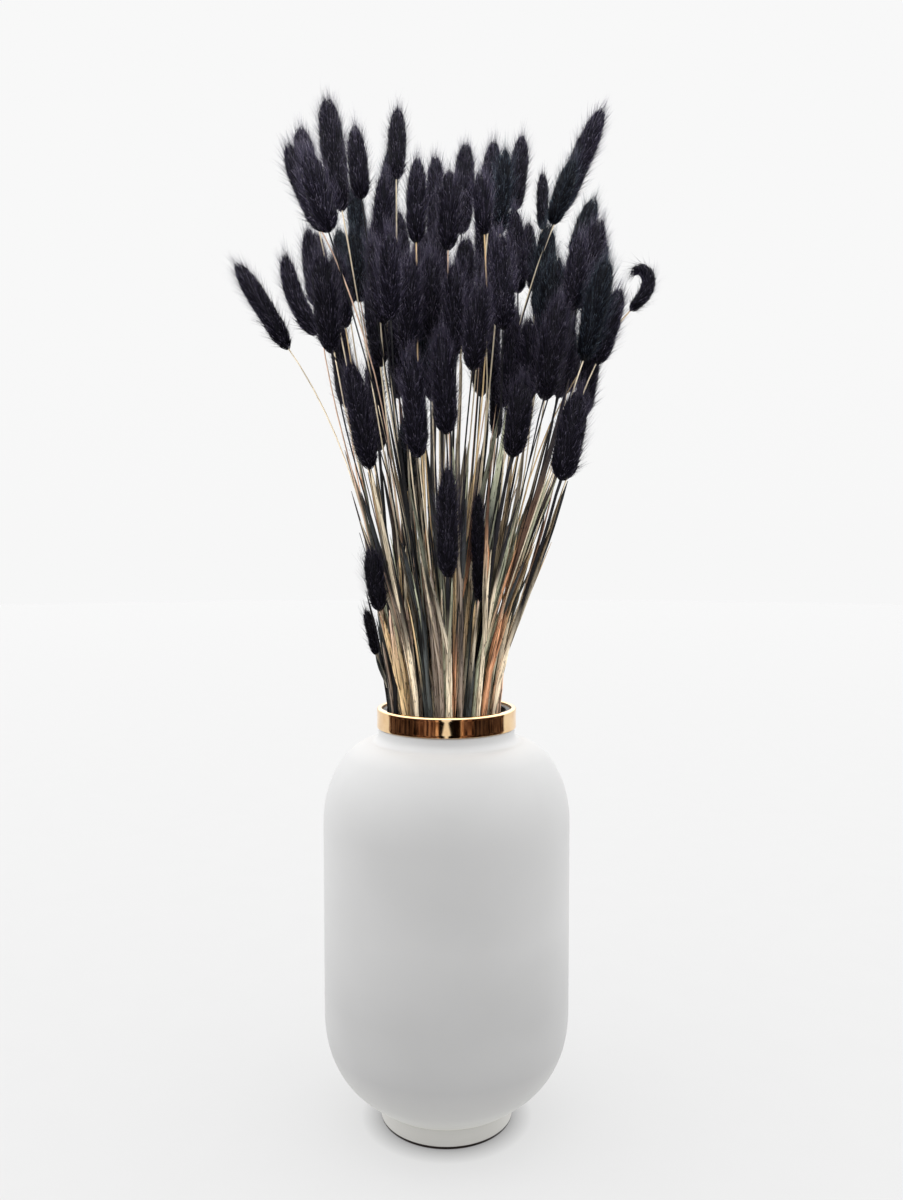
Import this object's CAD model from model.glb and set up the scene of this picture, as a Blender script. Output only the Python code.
"""A matt white vase with a gold-coloured collar and a tall bunch of dried bunny tail grass.

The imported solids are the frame: the vase and the collar are turned again in fine steps, and
each grass is grown again along the centre line of its own solid, with a round culm, a dried
sheath, leaf strips, and a head covered in bristles and long awns. The object's sizes are in
millimetres until a mesh is made, and the studio's are in metres.
"""

import enum
import logging
import math
from collections.abc import Callable, Iterable
from dataclasses import dataclass, field
from functools import partial

import bpy
import numpy as np
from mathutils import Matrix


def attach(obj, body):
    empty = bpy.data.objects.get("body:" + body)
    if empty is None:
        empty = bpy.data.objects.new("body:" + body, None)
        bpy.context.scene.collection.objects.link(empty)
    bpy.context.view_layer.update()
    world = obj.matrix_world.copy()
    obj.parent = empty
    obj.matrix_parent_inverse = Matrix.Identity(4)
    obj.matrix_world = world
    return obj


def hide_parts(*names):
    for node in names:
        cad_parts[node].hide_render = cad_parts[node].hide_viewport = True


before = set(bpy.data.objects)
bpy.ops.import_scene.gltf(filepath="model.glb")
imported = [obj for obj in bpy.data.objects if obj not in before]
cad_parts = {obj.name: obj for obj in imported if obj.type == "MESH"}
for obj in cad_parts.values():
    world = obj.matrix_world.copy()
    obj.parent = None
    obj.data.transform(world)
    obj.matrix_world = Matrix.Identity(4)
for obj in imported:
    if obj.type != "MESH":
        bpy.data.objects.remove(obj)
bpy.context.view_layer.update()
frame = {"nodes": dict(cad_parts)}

MM = 0.001
BODY = "root"
MIXED = {"data_type": "RGBA"}
MULTIPLIED = {"data_type": "RGBA", "blend_type": "MULTIPLY"}
Pair = tuple[float, float]
Stops = tuple[tuple[float, str], ...]
Rng = np.random.Generator
log = logging.getLogger("vase_of_grass")


# Colours and nodes


def linear(code: str) -> tuple[float, ...]:
    """Turns an sRGB hex colour into linear red, green, blue and alpha.

    Args:
        code: the colour as "#RRGGBB".

    Returns:
        The four channels, the last of them 1.
    """
    channels = [int(code[start : start + 2], 16) / 255.0 for start in (1, 3, 5)]
    turned = [c / 12.92 if c <= 0.04045 else ((c + 0.055) / 1.055) ** 2.4 for c in channels]
    return (*turned, 1.0)


def connect(node: bpy.types.Node, sockets: dict[str | int, object]) -> None:
    """Links or sets a node's inputs.

    Args:
        node: the node.
        sockets: what each input gets, a value or another node's output.
    """
    for name, value in sockets.items():
        if isinstance(value, bpy.types.NodeSocket):
            node.id_data.links.new(value, node.inputs[name])
        else:
            node.inputs[name].default_value = value


def add_node(
    tree: bpy.types.NodeTree,
    kind: str,
    sockets: dict[str | int, object] | None = None,
    out: str | int = 0,
    stops: Iterable[tuple[float, str]] = (),
    **settings: object,
) -> bpy.types.NodeSocket:
    """Adds a shader node, sets it up and links it.

    Args:
        tree: the node tree that gets the node.
        kind: the node's type name, without the words that all of them begin with.
        sockets: what each input gets, a value or another node's output.
        out: the output that is wanted of it.
        stops: a colour ramp's stops, each a place and a hex colour, in order.
        settings: the node's own settings by name.

    Returns:
        The wanted output.
    """
    node = tree.nodes.new("ShaderNode" + kind)
    for name, value in settings.items():
        setattr(node, name, value)
    connect(node, sockets or {})
    for index, (place, code) in enumerate(stops):
        elements = node.color_ramp.elements
        stop = elements[index] if index < 2 else elements.new(place)
        stop.position = place
        stop.color = linear(code)
    return node.outputs[out]


def new_material(name: str) -> tuple[bpy.types.Material, bpy.types.Node, Callable]:
    """Starts a material.

    Args:
        name: the material's name.

    Returns:
        The material, its Principled node, and add_node for its own node tree.
    """
    material = bpy.data.materials.new(name)
    material.use_nodes = True
    tree = material.node_tree
    return material, tree.nodes["Principled BSDF"], partial(add_node, tree)


# Finishes


@dataclass(frozen=True)
class MattGlaze:
    """Matt white glaze on slip-cast stoneware: even, with a faint cloudiness and a soft sheen.

    Its sheen is paler at a glancing angle, and its tones go by height. It leaves the foot's
    bottom edge bare up to bare_foot, and the inside of the mouth within a radius and above a
    height. The real grain is finer, and is drawn as coarse as it needs to show.
    """

    colour: str = "#FBFBFB"
    thin_colour: str = "#F7F7F7"
    face_tone: str = "#CDCDCD"
    edge_tone: str = "#E3E3E3"
    tones: Stops = (
        (14.0, "#E4E3DE"), (14.6, "#FFFFF4"), (16.0, "#FFFFF4"), (18.5, "#FAFAF5"), (32.0, "#E2E2E0"),
        (52.0, "#CECECE"), (85.0, "#CDCDCD"), (130.0, "#D7D7D7"), (190.0, "#D8D8D8"),
        (226.0, "#D3D3D3"), (238.0, "#E0E0E0"),
    )
    clay_colour: str = "#140D0A"
    roughness: float = 0.52
    cloud_size: float = 60.0
    grain_size: float = 0.9
    grain_height: float = 0.012
    bare_foot: float = 2.6
    bare_blur: float = 0.2
    tall: float = 255.0
    bare_mouth: Pair = (38.9, 246.0)

    def material(self) -> bpy.types.Material:
        """Builds the glaze over its clay.

        Returns:
            The material.
        """
        material, shader, node = new_material("matt_white_glaze")
        place = node("TexCoord", out="Object")
        cloud = node("TexNoise", {"Vector": place, "Scale": 1.0 / (self.cloud_size * MM), "Detail": 3.0})
        colour = node("ValToRGB", {0: cloud}, stops=[(0.35, self.thin_colour), (0.62, self.colour)])
        sheen = node("Math", {0: node("LayerWeight", out="Facing"), 1: 0.5}, operation="POWER")
        height = node("SeparateXYZ", {0: place}, out="Z")
        risen = node("MapRange", {"Value": height, "From Max": self.tall * MM})
        layers = (
            (sheen, [(0.0, self.face_tone), (1.0, self.edge_tone)]),
            (risen, [(level / self.tall, code) for level, code in self.tones]),
        )
        for value, stops in layers:
            tone = node("ValToRGB", {0: value}, stops=stops)
            colour = node("Mix", {0: 1.0, 6: colour, 7: tone}, out=2, **MULTIPLIED)
        low, high = (self.bare_foot - self.bare_blur) * MM, self.bare_foot * MM
        glazed = node("MapRange", {"Value": height, "From Min": low, "From Max": high})
        level = node("VectorMath", {0: place, 1: (1, 1, 0)}, operation="MULTIPLY")
        reach = node("VectorMath", {0: level}, out="Value", operation="LENGTH")
        outside = node("Math", {0: reach, 1: self.bare_mouth[0] * MM}, operation="GREATER_THAN")
        below = node("Math", {0: height, 1: self.bare_mouth[1] * MM}, operation="LESS_THAN")
        kept = node("Math", {0: outside, 1: below}, operation="MAXIMUM")
        covered = node("Math", {0: kept, 1: glazed}, operation="MULTIPLY")
        both = node("Mix", {0: covered, 6: linear(self.clay_colour), 7: colour}, out=2, **MIXED)
        grain = node("TexNoise", {"Vector": place, "Scale": 1.0 / (self.grain_size * MM), "Detail": 2.0})
        bump = node("Bump", {"Strength": 0.35, "Distance": self.grain_height * MM, "Height": grain})
        connect(shader, {"Base Color": both, "Roughness": self.roughness, "Normal": bump})
        return material


@dataclass(frozen=True)
class PolishedBrass:
    """Polished and lacquered brass strip: warm gold, mirror-like, with faint turning lines.

    The real lines are finer, and are drawn as coarse as they need to show.
    """

    colour: str = "#EDCDA0"
    worn_colour: str = "#E4BE8E"
    roughness: float = 0.07
    roughness_range: Pair = (0.7, 1.5)
    smear_size: float = 9.0
    line_spacing: float = 0.7
    line_run: float = 50.0
    line_height: float = 0.0025

    def material(self) -> bpy.types.Material:
        """Builds the brass.

        Returns:
            The material.
        """
        material, shader, node = new_material("polished_brass")
        place = node("TexCoord", out="Object")
        smear = node("TexNoise", {"Vector": place, "Scale": 1.0 / (self.smear_size * MM), "Detail": 4.0})
        tone = node("ValToRGB", {0: smear}, stops=[(0.35, self.worn_colour), (0.65, self.colour)])
        low, high = (self.roughness * share for share in self.roughness_range)
        polish = node("MapRange", {"Value": smear, "To Min": low, "To Max": high})
        run = 1.0 / (self.line_run * MM)
        scale = (run, run, 1.0 / (self.line_spacing * MM))
        squeezed = node("Mapping", {"Vector": place, "Scale": scale})
        lines = node("TexNoise", {"Vector": squeezed, "Scale": 1.0, "Detail": 2.0})
        bump = node("Bump", {"Strength": 0.3, "Distance": self.line_height * MM, "Height": lines})
        connect(shader, {"Base Color": tone, "Roughness": polish, "Metallic": 1.0, "Normal": bump})
        return material


@dataclass(frozen=True)
class DyedBristle:
    """Plant bristle dyed black: violet-black at its root, with greyer, slightly shiny tips."""

    root_colour: str = "#06060B"
    body_colour: str = "#181622"
    tip_colour: str = "#484453"
    glint_colour: str = "#C9C4CF"
    roughness: float = 0.5
    shine: float = 0.1

    def material(self) -> bpy.types.Material:
        """Builds the bristle, which reads how light each bristle is from its mesh.

        Returns:
            The material.
        """
        material, shader, node = new_material("dyed_black_bristle")
        shade = node("Attribute", out="Fac", attribute_name="shade")
        places = (0.0, 0.35, 0.75, 1.0)
        colours = (self.root_colour, self.body_colour, self.tip_colour, self.glint_colour)
        tone = node("ValToRGB", {0: shade}, stops=zip(places, colours))
        dye = node("Attribute", attribute_name="dye")
        both = node("Mix", {0: 1.0, 6: tone, 7: dye}, out=2, **MULTIPLIED)
        surface = {"Roughness": self.roughness, "Specular IOR Level": self.shine}
        connect(shader, {"Base Color": both, **surface})
        return material


@dataclass(frozen=True)
class Marks:
    """Marks drawn out along a culm: their width, their length, how strong and what colour."""

    width: float
    length: float
    amount: float
    stops: Stops


@dataclass(frozen=True)
class DriedCulm:
    """Dried grass stem and sheath: straw-like, ribbed along its length, smeared with black dye."""

    ribs: Marks = Marks(0.75, 26.0, 0.9, ((0.37, "#3F3833"), (0.45, "#D2CBC2"), (0.53, "#FFFFFF")))
    smears: Marks = Marks(2.6, 34.0, 0.8, ((0.34, "#34343A"), (0.42, "#FFFFFF")))
    specks: Marks = Marks(0.7, 4.0, 0.85, ((0.32, "#332D2A"), (0.39, "#FFFFFF")))
    rib_height: float = 0.08
    roughness: float = 0.62
    shine: float = 0.3

    def material(self) -> bpy.types.Material:
        """Builds the culm: its colour, its wear and the run of its grain come from its mesh.

        Returns:
            The material.
        """
        material, shader, node = new_material("dried_grass_culm")
        grain = node("Attribute", out="Vector", attribute_name="grain")
        colour = node("Attribute", attribute_name="tint")
        wear = colour.node.outputs["Alpha"]
        noises = []
        for marks in (self.ribs, self.smears, self.specks):
            worn = node("Math", {0: wear, 1: marks.amount}, operation="MULTIPLY")
            scale = (1.0 / marks.width, 1.0 / marks.width, 1.0 / marks.length)
            squeezed = node("Mapping", {"Vector": grain, "Scale": scale})
            noises.append(node("TexNoise", {"Vector": squeezed, "Scale": 1.0, "Detail": 2.0}))
            tone = node("ValToRGB", {0: noises[-1]}, stops=marks.stops)
            colour = node("Mix", {0: worn, 6: colour, 7: tone}, out=2, **MULTIPLIED)
        bump = node("Bump", {"Strength": 0.6, "Distance": self.rib_height * MM, "Height": noises[0]})
        surface = {"Roughness": self.roughness, "Specular IOR Level": self.shine}
        connect(shader, {"Base Color": colour, "Normal": bump, **surface})
        return material


@dataclass(frozen=True)
class TableTop:
    """Matt white acrylic table top lit from below as well, so that shadows on it stay faint.

    Its glow is weaker under the vase's foot, between the radii of foot_reach.
    """

    colour: str = "#757575"
    worn_colour: str = "#747474"
    glow: float = 0.55
    foot_reach: Pair = (40.0, 53.0)
    foot_shade: float = 0.52
    roughness: float = 0.9
    shine: float = 0.1
    fibre_size: float = 30.0

    def material(self) -> bpy.types.Material:
        """Builds the table top.

        Returns:
            The material.
        """
        material, shader, node = new_material("white_table_top")
        place = node("TexCoord", out="Object")
        fibre = node("TexNoise", {"Vector": place, "Scale": 1.0 / (self.fibre_size * MM)})
        tone = node("ValToRGB", {0: fibre}, stops=[(0.3, self.worn_colour), (0.7, self.colour)])
        level = node("VectorMath", {0: place, 1: (1, 1, 0)}, operation="MULTIPLY")
        reach = node("VectorMath", {0: level}, out="Value", operation="LENGTH")
        ends = {"From Min": self.foot_reach[0] * MM, "From Max": self.foot_reach[1] * MM}
        shades = {"To Min": self.foot_shade * self.glow, "To Max": self.glow}
        glow = node("MapRange", {"Value": reach, **ends, **shades})
        surface = {"Roughness": self.roughness, "Specular IOR Level": self.shine}
        light = {"Emission Color": (1.0, 1.0, 1.0, 1.0), "Emission Strength": glow}
        connect(shader, {"Base Color": tone, **surface, **light})
        return material


class Straw(enum.Enum):
    """The colours that dried sheaths and culms have in this bunch."""

    CREAM = "#FFEFD2"
    WHEAT = "#F6D6A4"
    ROSE = "#F2CFB6"
    PALE_GREEN = "#D6DABC"
    SALMON = "#F6B68A"
    GREY_BROWN = "#B4A394"
    CHARCOAL = "#4C5151"
    INK = "#1A1A20"


# Modelling


def read_all(items: bpy.types.bpy_prop_collection, name: str, width: int, kind: type) -> np.ndarray:
    """Reads one property of all of a mesh's points, corners or faces.

    Args:
        items: the points, corners, faces or triangles.
        name: the property.
        width: how many numbers each of them has.
        kind: the numbers' type.

    Returns:
        One row for each item, or one number where the width is 1.
    """
    values = np.empty(width * len(items), dtype=kind)
    items.foreach_get(name, values)
    return values.reshape(-1, width) if width > 1 else values


@dataclass
class Shape:
    """Points and faces of a modelled form, ready to be copied and bent to its place."""

    points: np.ndarray
    corners: np.ndarray
    sizes: np.ndarray
    bow: np.ndarray | None = None
    grain: np.ndarray | None = None

    @classmethod
    def taken_from(cls, model: bpy.types.Object) -> "Shape":
        """Keeps a model's mesh as numbers and removes the model.

        Args:
            model: the finished model, in the unit size it is to be copied from.

        Returns:
            Its shape.
        """
        mesh = model.data
        points = read_all(mesh.vertices, "co", 3, float)
        corners = read_all(mesh.loops, "vertex_index", 1, np.int32)
        sizes = read_all(mesh.polygons, "loop_total", 1, np.int32)
        bpy.data.objects.remove(model)
        bpy.data.meshes.remove(mesh)
        return cls(points, corners, sizes)

    def copies(self, placed: np.ndarray) -> "Shape":
        """Copies the shape's faces over points that are already in their places.

        Args:
            placed: one row of points for each copy.

        Returns:
            All the copies as one shape.
        """
        steps = np.arange(len(placed))[:, None] * len(self.points)
        corners = (self.corners[None, :] + steps).ravel()
        return Shape(placed.reshape(-1, 3), corners, np.tile(self.sizes, len(placed)))


def joined(shapes: list[Shape]) -> Shape:
    """Puts several shapes into one.

    Args:
        shapes: the shapes, in order.

    Returns:
        One shape with all their points and faces.
    """
    starts = np.cumsum([0] + [len(shape.points) for shape in shapes[:-1]])
    corners = [shape.corners + start for shape, start in zip(shapes, starts)]
    points = np.vstack([shape.points for shape in shapes])
    return Shape(points, np.concatenate(corners), np.concatenate([shape.sizes for shape in shapes]))


def begin() -> None:
    """Leaves edit mode and deselects everything, so the next operator acts on its piece alone."""
    if bpy.context.mode != "OBJECT":
        bpy.ops.object.mode_set(mode="OBJECT")
    bpy.ops.object.select_all(action="DESELECT")


def finished(name: str) -> bpy.types.Object:
    """Ends the work on the active piece, applies its place and names it.

    Args:
        name: the piece's name.

    Returns:
        The piece.
    """
    if bpy.context.mode != "OBJECT":
        bpy.ops.object.mode_set(mode="OBJECT")
    bpy.ops.object.transform_apply(location=True, rotation=True, scale=True)
    made = bpy.context.object
    made.name = made.data.name = name
    return made


def modelled(add: Callable, cuts: dict[int, int], **sizes: object) -> Shape:
    """Models a closed unit shape once, to be copied.

    Args:
        add: the operator that adds the primitive it is cut from.
        cuts: how many times its edges along each axis are cut across, by axis, in order.
        sizes: the primitive's sizes.

    Returns:
        The shape.
    """
    begin()
    add(**sizes)
    for axis, number in cuts.items():
        bpy.ops.object.mode_set(mode="EDIT")
        bpy.ops.mesh.select_mode(type="EDGE")
        bpy.ops.mesh.select_all(action="DESELECT")
        bpy.ops.object.mode_set(mode="OBJECT")
        mesh = bpy.context.object.data
        for edge in mesh.edges:
            first, second = (mesh.vertices[index].co[axis] for index in edge.vertices)
            edge.select = abs(first - second) > 1e-4
        bpy.ops.object.mode_set(mode="EDIT")
        bpy.ops.mesh.subdivide(number_cuts=number)
    return Shape.taken_from(finished("unit_shape"))


def add_piece(name: str, shape: Shape, material: bpy.types.Material) -> bpy.types.Object:
    """Makes an object of a shape given in millimetres.

    Args:
        name: the piece's name.
        shape: its points and faces.
        material: its finish.

    Returns:
        The new object, at the origin.
    """
    mesh = bpy.data.meshes.new(name)
    mesh.vertices.add(len(shape.points))
    mesh.vertices.foreach_set("co", (shape.points * MM).astype(np.float32).ravel())
    mesh.loops.add(len(shape.corners))
    mesh.loops.foreach_set("vertex_index", shape.corners.astype(np.int32))
    mesh.polygons.add(len(shape.sizes))
    starts = np.concatenate([[0], np.cumsum(shape.sizes)[:-1]])
    mesh.polygons.foreach_set("loop_start", starts.astype(np.int32))
    mesh.update(calc_edges=True)
    mesh.validate()
    mesh.materials.append(material)
    made = bpy.data.objects.new(name, mesh)
    bpy.context.scene.collection.objects.link(made)
    return made


def mark_points(piece: bpy.types.Object, name: str, values: np.ndarray) -> None:
    """Stores a number, a vector or a colour at each point of a piece, for its material.

    Args:
        piece: the object.
        name: the attribute's name.
        values: one number, one row of three or one colour of four channels for each point.
    """
    kinds = {1: ("FLOAT", "value"), 3: ("FLOAT_VECTOR", "vector"), 4: ("FLOAT_COLOR", "color")}
    kind, held = kinds[values.size // len(values)]
    layer = piece.data.attributes.new(name, kind, "POINT")
    layer.data.foreach_set(held, values.astype(np.float32).ravel())


class Line:
    """A smooth line through points, with an upright frame that doesn't twist along it."""

    def __init__(self, points: np.ndarray) -> None:
        """Measures the line.

        Args:
            points: the points it runs through, in millimetres.
        """
        steps = np.linalg.norm(np.diff(points, axis=0), axis=1)
        self.points = points
        self.length = float(steps.sum())
        self.shares = np.concatenate([[0.0], np.cumsum(steps)]) / self.length
        tangents = np.gradient(points, self.shares, axis=0)
        self.tangents = tangents / np.linalg.norm(tangents, axis=1)[:, None]
        side = np.array([1.0, 0.0, 0.0])
        sides = []
        for tangent in self.tangents:
            side = side - tangent * (side @ tangent)
            side = side / np.linalg.norm(side)
            sides.append(side)
        self.sides = np.array(sides)

    def at(self, share: np.ndarray) -> tuple[np.ndarray, np.ndarray, np.ndarray, np.ndarray]:
        """Reads the line at shares of its length.

        Args:
            share: the places, from 0 at its start to 1 at its end.

        Returns:
            The points, and the unit vectors to the side, to the front and along the line.
        """

        def read(values: np.ndarray) -> np.ndarray:
            """Values between the line's own points."""
            return np.column_stack([np.interp(share, self.shares, values[:, k]) for k in range(3)])

        along = read(self.tangents)
        along /= np.linalg.norm(along, axis=1)[:, None]
        side = read(self.sides)
        side -= along * np.sum(side * along, axis=1)[:, None]
        side /= np.linalg.norm(side, axis=1)[:, None]
        return read(self.points), side, np.cross(along, side), along

    def sweep(self, shape: Shape, reach: Callable[[np.ndarray], np.ndarray], turn: float = 0.0) -> Shape:
        """Bends a shape of height 1 along the line.

        Args:
            shape: the unit shape.
            reach: gives the half widths to the side and to the front at each share.
            turn: how far the section is turned round the line, in radians.

        Returns:
            The bent shape, in millimetres; its grain is where its points lie before it is bent.
        """
        centre, side, front, _ = self.at(shape.points[:, 2])
        size = reach(shape.points[:, 2]).reshape(len(shape.points), -1)
        across = shape.points[:, 0] * size[:, 0]
        through = shape.points[:, 1] * size[:, -1]
        over = across * math.cos(turn) - through * math.sin(turn)
        ahead = across * math.sin(turn) + through * math.cos(turn)
        points = centre + side * over[:, None] + front * ahead[:, None]
        grain = np.column_stack([across, through, shape.points[:, 2] * self.length])
        return Shape(points, shape.corners, shape.sizes, grain=grain)


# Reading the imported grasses


@dataclass
class Grass:
    """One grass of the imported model: its culm's centre line and thickness, and its head's."""

    culm: np.ndarray
    girth: np.ndarray
    head: np.ndarray
    head_reach: float
    blade: np.ndarray | None = None
    at_edge: bool = False

    def at_height(self, height: float) -> np.ndarray:
        """Where the culm passes a height, seen from above."""
        return np.array([np.interp(height, self.culm[:, 2], self.culm[:, k]) for k in (0, 1)])

    def distance(self, place: np.ndarray) -> float:
        """How far a place is from the culm, at its own height."""
        return float(np.linalg.norm(self.at_height(place[2]) - place[:2]))

    @property
    def mouth(self) -> np.ndarray:
        """Where the culm passes the vase's mouth."""
        return self.at_height(GrassReader.MOUTH)


class GrassReader:
    """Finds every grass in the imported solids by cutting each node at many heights."""

    MOUTH = 250.0
    FIRST = 238.0
    LOWEST = 14.0
    STEP = 3.0
    NEAR = 5.0
    HEAD_FROM = 272.0
    HEAD_GIRTH = 2.0
    HEAD_POINTS = 14
    LONG_HEAD = 7
    BASE_MARGIN = 4.5
    TIP_MARGIN = 2.0
    TUFT_LIMIT = 10.5
    TUFT_SHARE = 0.9
    USUAL_REACH = 4.0
    BLADE_ROOT = (258.0, 352.0)
    BLADE_SPAN = 25.0
    BLADE_GIRTH = 1.4

    def __init__(self, piece: bpy.types.Object) -> None:
        """Copies the node's mesh as numbers, with its doubles merged.

        Args:
            piece: the node's object.
        """
        mesh = piece.data
        points = np.round(read_all(mesh.vertices, "co", 3, float) / MM, 4)
        mesh.calc_loop_triangles()
        corners = read_all(mesh.loop_triangles, "vertices", 3, np.int64)
        self.points, merged = np.unique(points, axis=0, return_inverse=True)
        self.triangles = merged.ravel()[corners]

    def cut(self, height: float) -> np.ndarray:
        """Cuts the node at a height.

        Args:
            height: the height of the cut.

        Returns:
            One row for each closed outline: its middle's x and y, and the radius of a circle
            of the same area.
        """
        above = self.points[self.triangles, 2] > height
        mixed = above.any(axis=1) & ~above.all(axis=1)
        if not mixed.any():
            return np.zeros((0, 3))
        chosen, above = self.triangles[mixed], above[mixed]
        lone = np.where(above.sum(axis=1) == 1, above.argmax(axis=1), (~above).argmax(axis=1))
        rows = np.arange(len(chosen))
        own = chosen[rows, lone]
        ends, keys = [], []
        for step in (1, 2):
            other = chosen[rows, (lone + step) % 3]
            first, second = self.points[own], self.points[other]
            share = (height - first[:, 2]) / (second[:, 2] - first[:, 2])
            ends.append((first + (second - first) * share[:, None])[:, :2])
            keys.append(np.minimum(own, other) * len(self.points) + np.maximum(own, other))
        edges, index = np.unique(np.concatenate(keys), return_inverse=True)
        first, second = index[: len(rows)], index[len(rows) :]
        label = np.arange(len(edges))
        while True:
            low = np.minimum(label[first], label[second])
            spread = label.copy()
            np.minimum.at(spread, first, low)
            np.minimum.at(spread, second, low)
            if (spread == label).all():
                break
            label = spread
        found = []
        for name in np.unique(label[first]):
            held = label[first] == name
            start, end = ends[0][held], ends[1][held]
            weight = np.linalg.norm(end - start, axis=1)
            middle = ((start + end) * 0.5 * weight[:, None]).sum(axis=0) / max(weight.sum(), 1e-9)
            one, two = start - middle, end - middle
            area = 0.5 * np.abs(one[:, 0] * two[:, 1] - one[:, 1] * two[:, 0]).sum()
            found.append([middle[0], middle[1], math.sqrt(area / math.pi)])
        return np.array(found)

    def nearest(self, line: list[np.ndarray], cuts: np.ndarray, free: set[int]) -> int | None:
        """Finds the outline of the next cut that carries a line on.

        Args:
            line: the line's rows so far.
            cuts: the next cut's outlines.
            free: those of them that no line has taken.

        Returns:
            The outline's number, or None if none is near enough.
        """
        if not free:
            return None
        guess = line[-1][:2]
        if len(line) > 1:
            guess = guess + (line[-1] - line[-2])[:2]
        rows = sorted(free)
        away = np.linalg.norm(cuts[rows, :2] - guess, axis=1) - 0.5 * cuts[rows, 2]
        best = int(away.argmin())
        return rows[best] if away[best] < self.NEAR else None

    def lines_down(self) -> tuple[list[np.ndarray], list[np.ndarray]]:
        """Follows every outline from the top of the node down to its mouth.

        Returns:
            The lines that reach the mouth and those that end above it, each with one row of
            x, y, height and radius for each cut, from its top down.
        """
        top = self.points[:, 2].max()
        heights = np.append(np.arange(top - 0.5 * self.STEP, self.FIRST, -self.STEP), self.FIRST)
        going: list[list[np.ndarray]] = []
        ended: list[list[np.ndarray]] = []
        for height in heights:
            cuts = self.cut(float(height))
            free = set(range(len(cuts)))
            kept = []
            for line in sorted(going, key=len, reverse=True):
                found = self.nearest(line, cuts, free)
                if found is None:
                    ended.append(line)
                    continue
                free.discard(found)
                line.append(np.array([*cuts[found, :2], height, cuts[found, 2]]))
                kept.append(line)
            going = kept + [[np.array([*cuts[row, :2], height, cuts[row, 2]])] for row in free]
        return [np.array(line) for line in going], [np.array(line) for line in ended]

    def root(self, start: np.ndarray) -> np.ndarray:
        """Follows a culm from the mouth down to the vase's floor, where it may join another.

        Args:
            start: the culm's row at the mouth.

        Returns:
            Its rows, from the mouth down.
        """
        line = [start]
        for height in np.arange(self.FIRST - 2.0 * self.STEP, self.LOWEST, -2.0 * self.STEP):
            cuts = self.cut(float(height))
            found = self.nearest(line, cuts, set(range(len(cuts))))
            if found is None:
                break
            line.append(np.array([*cuts[found, :2], height, cuts[found, 2]]))
        return np.array(line)

    def head_line(self, rows: np.ndarray) -> np.ndarray:
        """A smooth line through the middle of a head, from its base to just under its tufts' ends.

        Args:
            rows: the head's outlines, from its base up.

        Returns:
            The line's points.
        """
        away = np.linalg.norm(self.points[:, :2] - rows[-1, :2], axis=1)
        near = (away < 2.0 * self.NEAR) & (abs(self.points[:, 2] - rows[-1, 2]) < 2.0 * self.STEP)
        top = max(self.points[near, 2].max(initial=rows[-1, 2]), rows[-1, 2]) - self.TIP_MARGIN
        heights = np.linspace(rows[0, 2] - self.BASE_MARGIN, top, self.HEAD_POINTS)
        degree = 2 if len(rows) > self.LONG_HEAD else 1
        plan = [
            np.polyval(np.polyfit(rows[:, 2], rows[:, k], degree, w=rows[:, 3]), heights)
            for k in (0, 1)
        ]
        return np.column_stack([*plan, heights])

    def head_reach(self, head: np.ndarray) -> float:
        """Measures how far a head's tufts reach from its middle line.

        Args:
            head: the line's points.

        Returns:
            The reach of all but the longest tufts.
        """
        near = self.points[(self.points[:, 2] > head[0, 2]) & (self.points[:, 2] < head[-1, 2])]
        gaps = np.linalg.norm(near[:, None, :] - head[None, :, :], axis=2).min(axis=1)
        gaps = gaps[gaps < self.TUFT_LIMIT]
        return float(np.quantile(gaps, self.TUFT_SHARE)) if len(gaps) else self.USUAL_REACH

    def read(self) -> list[Grass]:
        """Reads the node's grasses.

        Returns:
            One grass for each culm that passes the mouth.
        """
        whole, ended = self.lines_down()
        grasses = []
        for line in whole:
            big = np.nonzero((line[:, 3] > self.HEAD_GIRTH) & (line[:, 2] > self.HEAD_FROM))[0]
            last = int(big[-1]) if len(big) else 0
            head = self.head_line(line[: last + 1][::-1])
            culm = np.vstack([self.root(line[-1])[:0:-1], line[last:][::-1]])
            grasses.append(Grass(culm[:, :3], culm[:, 3], head, self.head_reach(head)))
        for line in ended:
            low, high = line[-1, 2], line[0, 2]
            rooted = self.BLADE_ROOT[0] < low < self.BLADE_ROOT[1]
            if rooted and high - low > self.BLADE_SPAN and line[:, 3].max() < self.BLADE_GIRTH:
                nearest = min(grasses, key=lambda grass: grass.distance(line[-1]))
                nearest.blade = line[::-1, :3]
        return grasses


# The vase and its collar


def angles(points: int, start: float = 0.0, end: float = 0.5 * math.pi) -> list[float]:
    """Evenly spaced angles from start to end, both included."""
    return [start + (end - start) * index / (points - 1) for index in range(points)]


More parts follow.
